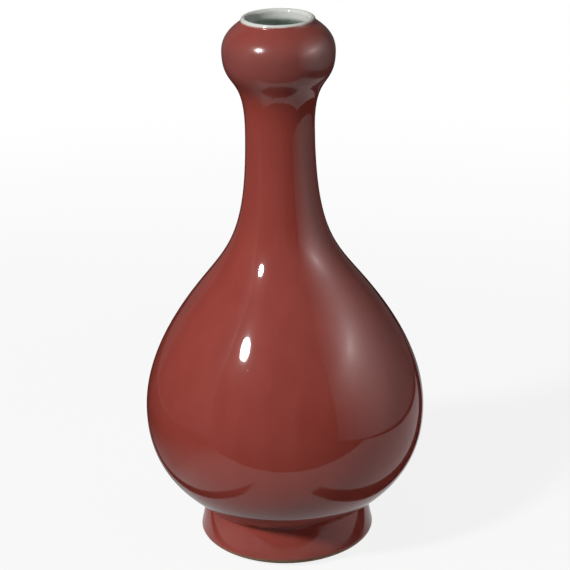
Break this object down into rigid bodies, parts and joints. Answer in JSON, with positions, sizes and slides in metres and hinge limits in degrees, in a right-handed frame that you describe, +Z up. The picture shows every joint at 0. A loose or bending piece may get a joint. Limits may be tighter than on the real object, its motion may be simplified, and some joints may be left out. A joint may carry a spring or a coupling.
{
  "type": "garlic head vase",
  "caption": "Porcelain bottle vase with a round belly, slender neck and garlic-bulb mouth, red glazed outside and pale glazed inside, to hold stems or stand on display.",
  "frame": {"origin": "centre of the flat ring that the foot stands on", "axes": "+Z up along the vase's axis of revolution, +X to the right and -Y towards the viewer"},
  "size_m": [0.1544, 0.1544, 0.3],
  "materials": {
    "porcelain": "fired porcelain body, unglazed where it meets the glaze",
    "foot_biscuit": "bare fired foot rim, warm tan, smooth and matt",
    "slip": "fired slip in the luted seams",
    "copper_red_glaze": "glossy copper-red glaze, even, with fine pinholes",
    "lip_white_glaze": "glossy white glaze on the lip",
    "pale_inner_glaze": "glossy white glaze with a faint green cast",
    "base_white_glaze": "glossy white glaze under the base"
  },
  "bodies": {
    "root": {"foot_ring": "foot_biscuit", "foot_slip_seam": "slip", "lower_body": "porcelain", "belly_slip_seam": "slip", "upper_body": "porcelain", "neck_slip_seam": "slip", "neck": "porcelain", "bulb_slip_seam": "slip", "garlic_bulb": "porcelain", "red_glaze": "copper_red_glaze", "lip_glaze": "lip_white_glaze", "inner_glaze": "pale_inner_glaze", "base_glaze": "base_white_glaze"}
  },
  "joints": []
}
